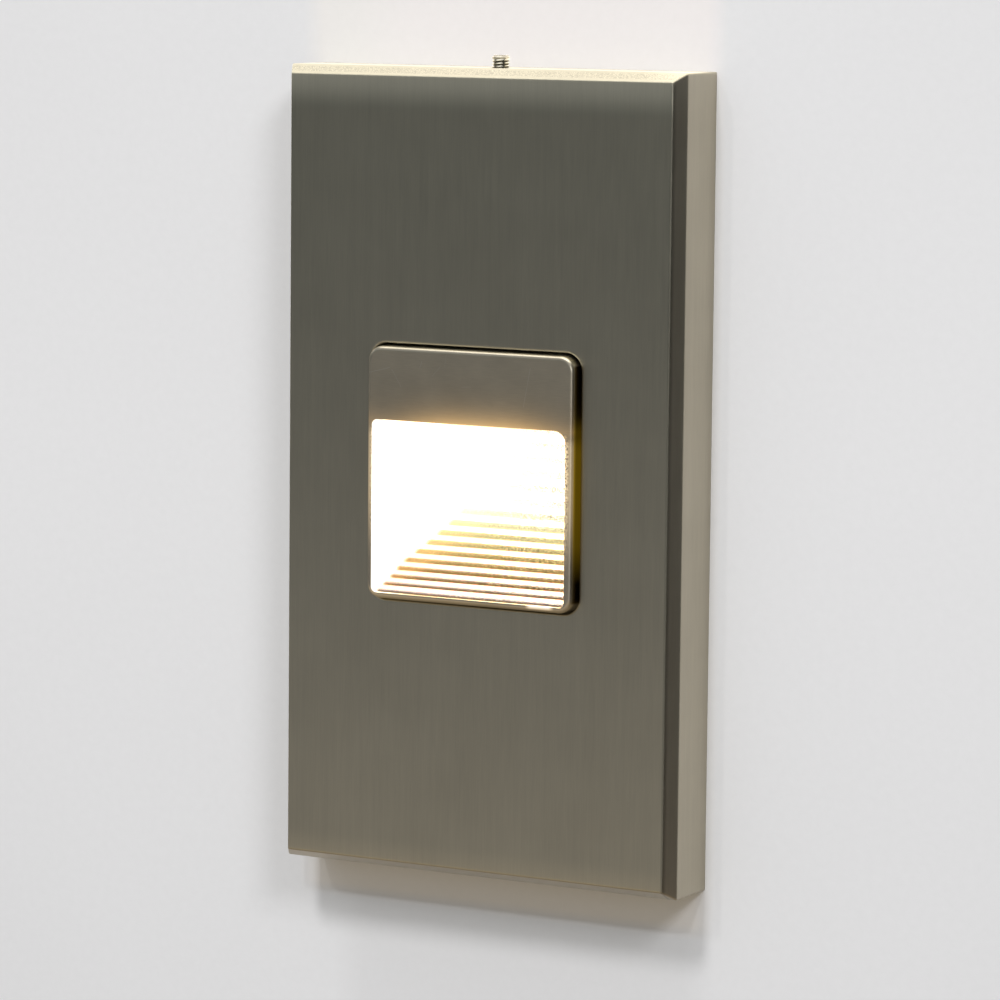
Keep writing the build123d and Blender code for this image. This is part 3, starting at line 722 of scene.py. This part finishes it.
def set_screw_piece(made):
    """The M3 set screw: a threaded rod with a hexagon socket in its top and a cup point below."""
    low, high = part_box("set_screw")
    radius = (high.x - low.x) / 2
    edge = radius - set_screw_chamfer
    socket = socket_across_flats / math.sqrt(3)
    mesh = bmesh.new()
    rings = threaded_rod(mesh, radius, low.z + set_screw_chamfer, high.z - set_screw_chamfer, m3_pitch)
    top_edge = ring_at(mesh, edge, high.z)
    rim = ring_at(mesh, socket, high.z, hexagon=True)
    floor = ring_at(mesh, socket, high.z - socket_depth, hexagon=True)
    bottom_edge = ring_at(mesh, edge, low.z)
    cup = ring_at(mesh, edge - set_screw_chamfer, low.z + set_screw_chamfer / 2)
    bridge(mesh, [rings[-1], top_edge, rim, floor])
    mesh.faces.new(floor)
    bridge(mesh, [cup, bottom_edge, rings[0]])
    mesh.faces.new(list(reversed(cup)))
    bmesh.ops.translate(mesh, verts=mesh.verts, vec=upright_axis(low, high))
    finish_mesh(mesh, "set_screw_threaded", made, "set_screw", "set_screw")


def loose_parts(node):
    """The points of each separate solid of a CAD node."""
    mesh = bmesh.new()
    mesh.from_mesh(cad[node].data)
    bmesh.ops.remove_doubles(mesh, verts=mesh.verts, dist=weld_distance)
    waiting = set(mesh.verts)
    parts = []
    while waiting:
        edge = [waiting.pop()]
        part = []
        while edge:
            vert = edge.pop()
            part.append(vert.co.copy())
            for link in vert.link_edges:
                other = link.other_vert(vert)
                if other in waiting:
                    waiting.remove(other)
                    edge.append(other)
        parts.append(part)
    mesh.free()
    return parts


def screw_sizes(points):
    """Centre, turn and sizes of a CAD screw along Y, whose head is its wide end."""
    rim_share = 0.97
    xs = [point.x for point in points]
    ys = [point.y for point in points]
    zs = [point.z for point in points]
    centre = Vector(((min(xs) + max(xs)) / 2, 0, (min(zs) + max(zs)) / 2))
    reach = [((point.x - centre.x) ** 2 + (point.z - centre.z) ** 2) ** 0.5 for point in points]
    head = max(reach)
    wide = [y for y, r in zip(ys, reach) if r > rim_share * head]
    turned_round = sum(wide) / len(wide) > (min(ys) + max(ys)) / 2
    seat = min(wide) if turned_round else max(wide)
    top = max(ys) if turned_round else min(ys)
    tip = min(ys) if turned_round else max(ys)
    shank = max(r for y, r in zip(ys, reach) if abs(y - top) > abs(seat - top) + plain_neck)
    return centre, turned_round, seat, top, tip, head, shank


def cut(piece, cutter):
    """Takes the cutter's shape out of the piece."""
    modifier = piece.modifiers.new("recess", "BOOLEAN")
    modifier.operation = "DIFFERENCE"
    modifier.object = cutter
    graph = bpy.context.evaluated_depsgraph_get()
    data = bpy.data.meshes.new_from_object(piece.evaluated_get(graph))
    piece.modifiers.clear()
    piece.data = data
    bpy.data.objects.remove(cutter)


def bar(length, width, depth, top):
    """A tapered bar down along -Z, which cuts one slot this deep below the top of a head."""
    taper = 0.6
    overshoot = 0.1
    mesh = bmesh.new()
    for vert in bmesh.ops.create_cube(mesh, size=1.0)["verts"]:
        upper = vert.co.z > 0
        share = 1.0 if upper else taper
        rise = overshoot * depth if upper else -depth
        vert.co = Vector((vert.co.x * length * share, vert.co.y * width * share, top + rise))
    return object_from(mesh, "slot_cutter")


def screw_head(mesh, head, height, hexagon):
    """Rings up a head of this radius and height: domed, or a hexagon over a washer."""
    if hexagon:
        across = 0.93 * head
        return [
            ring_at(mesh, head, 0.0),
            ring_at(mesh, head, 0.22 * height),
            ring_at(mesh, across, 0.24 * height, hexagon=True),
            ring_at(mesh, across, 0.90 * height, hexagon=True),
            ring_at(mesh, 0.78 * head, height),
        ]
    profile = [(1.0, 0.0), (1.0, 0.45), (0.95, 0.68), (0.82, 0.87), (0.62, 0.97), (0.4, 1.0)]
    return [ring_at(mesh, share * head, rise * height) for share, rise in profile]


def screw_shape(length, height, head, shank, pitch, hexagon):
    """One screw down along -Z from its seat at z = 0, with its recess cut one bar at a time."""
    tip_length = 0.4 * shank
    tip_radius = 0.6 * shank
    neck_radius = 0.88 * shank
    mesh = bmesh.new()
    rings = threaded_rod(mesh, shank, -length + tip_length, -plain_neck, pitch)
    end = ring_at(mesh, tip_radius, -length)
    neck = ring_at(mesh, neck_radius, 0.0)
    head_rings = screw_head(mesh, head, height, hexagon)
    bridge(mesh, [end, rings[0]])
    bridge(mesh, [rings[-1], neck] + head_rings)
    mesh.faces.new(list(reversed(end)))
    mesh.faces.new(head_rings[-1])
    bmesh.ops.recalc_face_normals(mesh, faces=mesh.faces)
    screw = object_from(mesh, "screw_plain")

    # Each slot's length and width as shares of the head's radius, and its depth as one of its height
    slots = [(3.0, 0.30, 0.55)] if hexagon else [(1.15, 0.30, 0.70), (0.30, 1.15, 0.66)]
    for length_share, width_share, depth_share in slots:
        cut(screw, bar(length_share * head, width_share * head, depth_share * height, height))
    return screw


def screw_pieces(node, made, pitch, hexagon=False):
    """The screws of a CAD node, with threads and a recess: crossed, or a slot in a hexagon head."""
    whole = bmesh.new()
    for points in loose_parts(node):
        centre, turned_round, seat, top, tip, head, shank = screw_sizes(points)
        screw = screw_shape(abs(tip - seat), abs(top - seat), head, shank, pitch, hexagon)
        side = -1 if turned_round else 1
        turn = Matrix.Rotation(math.radians(90 * side), 4, "X")

        # Each screw was tightened to its own angle, which follows here from its place
        twist = Matrix.Rotation(centre.x * twist_per_x + centre.z * twist_per_z, 4, "Z")
        screw.data.transform(Matrix.Translation(centre + Vector((0, seat, 0))) @ turn @ twist)
        whole.from_mesh(screw.data)
        bpy.data.objects.remove(screw)
    finish_mesh(whole, f"{node}_threaded", made, "base", node)


# ---------------------------------------------------------------- stage, lamps and camera


def wall_tone(graph, roller):
    """The paint's brightness: roller marks, light that fades up and to the right, shade below the plate."""
    x, _, z = graph.xyz(graph.place())
    low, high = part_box("faceplate")
    shaded = graph.product(
        graph.within(x, low.x + 9 * MM, high.x - 4 * MM, 6 * MM),
        graph.ramp(z, low.z - 7.5 * MM, low.z - 4.5 * MM, 0.06, 0.0),
    )
    return graph.product(
        graph.total(graph.swing(roller, 0.99, 1.01), graph.swing(graph.grain(90 * MM), -0.01, 0.01)),
        graph.ramp(z, 0, 80 * MM, 1.035, 0.985),
        graph.ramp(z, -90 * MM, -20 * MM, 0.99, 1.0),
        graph.ramp(x, 30 * MM, 120 * MM, 1.0, 0.968),
        graph.minus(1.0, shaded),
    )


def wall_beside(graph):
    """What metal sees of the wall beside the light: warm, brown below it and dark far to the right."""
    x, _, z = graph.xyz(graph.place())
    low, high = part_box("faceplate")
    brightness = graph.ramp(x, high.x + 11 * MM, high.x + 38 * MM, 0.86, 0.03)
    lower = graph.ramp(z, low.z - 38.5 * MM, low.z - 9.5 * MM, 1.0, 0.0)
    return graph.mix(lower, graph.shade((0.94, 0.89, 0.865), brightness), (0.32, 0.22, 0.15))


def wall_above(graph):
    """Where metal sees the bright wall above the light, and how bright it is there."""
    x, _, z = graph.xyz(graph.place())
    _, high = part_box("faceplate")
    over_plate = graph.product(
        graph.ramp(z, high.z - 0.5 * MM, high.z + 2.5 * MM, 0.0, 1.0),
        graph.ramp(x, high.x - 3 * MM, high.x + 2 * MM, 1.0, 0.0),
    )
    over_corner = graph.product(
        graph.ramp(z, high.z + 5.5 * MM, high.z + 7.5 * MM, 0.0, 1.0),
        graph.within(x, high.x - 7 * MM, high.x + 13 * MM, 4 * MM),
    )
    brightness = graph.largest(
        graph.ramp(x, high.x - 15 * MM, high.x - 6 * MM, 0.80, 1.6),
        graph.ramp(z, high.z + 4.5 * MM, high.z + 9.5 * MM, 1.3, 0.0),
    )
    return graph.largest(over_plate, over_corner), brightness


def wall_patches(graph):
    """Where painted light from the plate's top lies on the wall above it, and where a painted warm glow of
    the step light's spill lies on the wall just under it.
    """
    x, _, z = graph.xyz(graph.place())
    low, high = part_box("faceplate")
    over = graph.product(
        graph.ramp(x, low.x + 3 * MM, low.x + 19 * MM, 0.0, 1.0, smooth=True),
        graph.ramp(x, high.x - 0.5 * MM, high.x + 1.5 * MM, 1.0, 0.0),
        graph.ramp(z, high.z - 2.5 * MM, high.z + 1.5 * MM, 0.0, 1.0),
        graph.ramp(z, high.z + 15.5 * MM, high.z + 45.5 * MM, 1.0, 0.0, smooth=True),
    )
    under = graph.product(
        graph.within(x, low.x, high.x - 2 * MM, 4 * MM),
        graph.ramp(z, low.z - 8.5 * MM, low.z - 6 * MM, 0.0, 1.0),
    )
    return over, under


def wall_paint():
    """Matt wall paint, clear from behind and to what has come through it from behind."""
    roller_depth = 0.02 * MM
    spill_glow_strength = 0.049
    made, graph = material("wall_paint")
    roller = graph.grain(1.6 * MM, 4.0, 0.6)
    glossy = graph.light_path("Is Glossy Ray")
    above, brightness = wall_above(graph)
    over, under = wall_patches(graph)

    mirrored = graph.mix(above, wall_beside(graph), white)
    seen = graph.mix(glossy, white, mirrored)
    colour = graph.shade(graph.mix(over, wall_colour, wall_lit_colour), wall_tone(graph, roller))
    paint = graph.node(
        "ShaderNodeBsdfDiffuse",
        {
            "Color": graph.vector("MULTIPLY", colour, seen),
            "Normal": graph.bump(graph.product(roller, roller_depth)),
        },
    )
    lift = graph.product(glossy, above, brightness)
    # Painted light: a warm glow of the step light's spill on the wall under the plate.
    spill_glow = graph.product(graph.minus(1.0, glossy), under, spill_glow_strength)
    glow = graph.node(
        "ShaderNodeEmission",
        {
            "Color": graph.mix(glossy, (1.0, 0.57, 0.0), (1.0, 0.90, 0.72)),
            "Strength": graph.total(lift, spill_glow),
        },
    )
    both = graph.node("ShaderNodeAddShader")
    graph.put(paint.outputs[0], both.inputs[0])
    graph.put(glow.outputs[0], both.inputs[1])

    came_through = graph.ramp(graph.light_path("Transparent Depth"), 0.0, 1.0, 0.0, 1.0)
    clear = graph.node("ShaderNodeBsdfTransparent")
    choice = graph.node(
        "ShaderNodeMixShader", {"Fac": graph.largest(graph.geometry("Backfacing"), came_through)}
    )
    graph.put(both.outputs[0], choice.inputs[1])
    graph.put(clear.outputs[0], choice.inputs[2])
    graph.surface(choice.outputs[0])
    return made


def make_wall():
    """The wall round the light, open where the housing goes through it, seen only from the room."""
    low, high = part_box("light_bezel")
    hole_x = (high.x - low.x) / 2 + wall_hole_margin
    hole_z = (high.z - low.z) / 2 + wall_hole_margin
    mesh = bmesh.new()
    rings = []
    for half_x, half_z in ((hole_x, hole_z), (wall_size / 2, wall_size / 2)):
        corners = [(-half_x, -half_z), (half_x, -half_z), (half_x, half_z), (-half_x, half_z)]
        rings.append([mesh.verts.new((x, -wall_clearance, z)) for x, z in corners])
    bridge(mesh, list(reversed(rings)))
    wall = object_from(mesh, "wall")
    wear(wall, wall_paint())


def make_world():
    """The room: soft light all round, what metal reflects of it, and pale where the camera sees it.

    The window is given by its azimuth in radians, its rise and the cosines of its edge and its inside.
    """
    window_azimuth = 0.60
    window_rise = 0.20
    window_edge = 0.955
    window_inside = 0.985
    world = bpy.data.worlds.new("room")
    bpy.context.scene.world = world
    world.use_nodes = True
    graph = Graph(world.node_tree)
    direction = graph.node("ShaderNodeTexCoord").outputs["Generated"]
    x, y, z = graph.xyz(direction)
    soft = graph.gradient(
        z,
        -1,
        1,
        [
            (-1.0, (0.36, 0.31, 0.24)),
            (0.0, (0.26, 0.26, 0.25)),
            (1.0, (0.80, 0.81, 0.82)),
        ],
    )
    reflected = graph.gradient(
        z,
        -1,
        1,
        [
            (-1.00, (0.24, 0.20, 0.15)),
            (-0.60, (0.34, 0.28, 0.20)),
            (-0.40, (0.54, 0.43, 0.31)),
            (-0.25, (0.42, 0.39, 0.355)),
            (-0.17, (0.25, 0.255, 0.285)),
            (-0.11, (0.052, 0.062, 0.071)),
            (-0.03, (0.040, 0.052, 0.060)),
            (0.06, (0.13, 0.14, 0.14)),
            (0.22, (0.32, 0.33, 0.34)),
            (0.76, (0.32, 0.32, 0.32)),
            (0.84, (2.40, 2.35, 2.25)),
        ],
    )
    reflected = graph.shade(reflected, graph.ramp(x, 0.50, 0.90, 1.0, 0.18))
    window = Vector((math.sin(window_azimuth), -math.cos(window_azimuth), window_rise)).normalized()
    facing = graph.vector("DOT_PRODUCT", direction, window, output="Value")
    in_window = graph.ramp(facing, window_edge, window_inside, 0.0, 1.0)
    reflected = graph.mix(in_window, reflected, (1.5, 1.5, 1.5))
    room = graph.mix(graph.light_path("Is Glossy Ray"), soft, reflected)
    room = graph.mix(graph.ramp(y, 0.05, 0.30, 0.0, 1.0), room, (0.55, 0.55, 0.54))
    colour = graph.mix(graph.light_path("Is Camera Ray"), room, (0.80, 0.80, 0.795))
    background = graph.node("ShaderNodeBackground", {"Color": colour, "Strength": 1.0})
    output = graph.node("ShaderNodeOutputWorld")
    graph.put(background.outputs[0], output.inputs["Surface"])


def direction_to(azimuth, elevation):
    """The way out from the wall to this azimuth and elevation in degrees, with +X to the right."""
    a = math.radians(azimuth)
    e = math.radians(elevation)
    return Vector((math.sin(a) * math.cos(e), -math.cos(a) * math.cos(e), math.sin(e)))


def make_lamp(name, colour, azimuth, elevation, distance, size, level):
    """A round lamp that adds this level to the wall's light, at this place from the wall's middle."""
    direction = direction_to(azimuth, elevation)
    facing = -direction.y
    data = bpy.data.lights.new(name, "AREA")
    data.shape = "DISK"
    data.size = size
    data.color = colour
    data.energy = level * math.pi**2 * distance**2 / facing
    lamp = add(name, data)
    lamp.location = direction * distance
    lamp.visible_glossy = False
    lamp.rotation_euler = direction.to_track_quat("Z", "Y").to_euler()


def make_camera():
    azimuth = math.radians(camera_azimuth)
    back = direction_to(camera_azimuth, camera_elevation)
    right = Vector((math.cos(azimuth), math.sin(azimuth), 0))
    turn = Matrix((right, back.cross(right), back)).transposed()
    roll = Matrix.Rotation(math.radians(camera_roll), 3, "Z")
    data = bpy.data.cameras.new("camera")
    data.lens = camera_lens
    data.sensor_width = camera_sensor
    camera = add("camera", data)
    camera.matrix_world = Matrix.Translation(camera_aim + back * camera_distance) @ (turn @ roll).to_4x4()
    bpy.context.scene.camera = camera


# ---------------------------------------------------------------- dressing

screw_steel = plain_metal("screw_plated_steel", (0.52, 0.51, 0.48), 0.30)
black = plain_plastic("housing_moulded_black", (0.035, 0.035, 0.037), 0.5)
looks = {
    "faceplate": brushed_cover(),
    "light_bezel": satin_bezel(),
    "scoop_reflector": satin_scoop(),
    "lens": lit_lens(),
    "lens_gasket": plain_plastic("lens_gasket_silicone", (0.55, 0.55, 0.53), 0.6),
    "led_board": plain_plastic("lamp_board_white", (0.80, 0.80, 0.78), 0.35),
    "led_chips": plain_plastic("lamp_phosphor_yellow", (0.85, 0.62, 0.16), 0.4),
    "led_board_screws": screw_steel,
    "led_leads": plain_plastic("lead_insulation_red", (0.45, 0.03, 0.02), 0.4),
    "heat_spreader": plain_metal("spreader_cast_aluminium", (0.72, 0.73, 0.74), 0.42),
    "heat_spreader_screws": screw_steel,
    "wall_gasket": foam("wall_gasket_foam", (0.05, 0.05, 0.052)),
    "mounting_frame": plain_metal("zinc_plated_steel", (0.62, 0.63, 0.63), 0.34),
    "box_screws": screw_steel,
    "ground_screw": plain_metal("ground_screw_green", (0.03, 0.26, 0.07), 0.32),
    "module_gasket": foam("module_gasket_foam", (0.06, 0.06, 0.06)),
    "module_screws": screw_steel,
    "driver_housing": black,
    "housing_screws": screw_steel,
    "rear_gasket": plain_plastic("rear_gasket_silicone", (0.35, 0.35, 0.34), 0.6),
    "rear_cover": black,
    "rear_cover_screws": screw_steel,
    "cable_grommet": plain_plastic("grommet_rubber_black", (0.02, 0.02, 0.02), 0.65),
    "driver_board": plain_plastic("driver_board_green", (0.02, 0.16, 0.06), 0.3),
    "driver_board_screws": screw_steel,
    "transformer_core": plain_plastic("core_ferrite", (0.06, 0.06, 0.065), 0.55),
    "transformer_winding": plain_plastic("winding_tape_yellow", (0.75, 0.50, 0.05), 0.35),
    "driver_capacitors": plain_plastic("capacitor_sleeve_black", (0.02, 0.025, 0.05), 0.3),
    "driver_chips": plain_plastic("chip_epoxy_black", (0.02, 0.02, 0.02), 0.45),
    "mains_terminal": plain_plastic("terminal_nylon_green", (0.03, 0.30, 0.08), 0.4),
}
for name, made in looks.items():
    wear(name, made)

set_screw_piece(threaded_steel("set_screw_steel", "set_screw"))
screw_pieces("box_screws", screw_steel, no6_pitch)
for node in ("module_screws", "housing_screws", "rear_cover_screws"):
    screw_pieces(node, screw_steel, m3_pitch)
screw_pieces("ground_screw", looks["ground_screw"], no10_pitch, hexagon=True)

make_wall()
make_world()
make_lamp("lamp_left", warm_white, azimuth=-16, elevation=34, distance=2.0, size=0.09, level=0.045)
make_lamp("lamp_right", warm_white, azimuth=16, elevation=34, distance=2.0, size=0.09, level=0.070)
make_lamp("lamp_high", soft_white, azimuth=0, elevation=47, distance=1.2, size=0.205, level=0.26)
make_lamp("lamp_window", clear_white, azimuth=46, elevation=33, distance=2.0, size=0.50, level=0.16)
make_camera()
bpy.context.scene.view_settings.view_transform = "Standard"
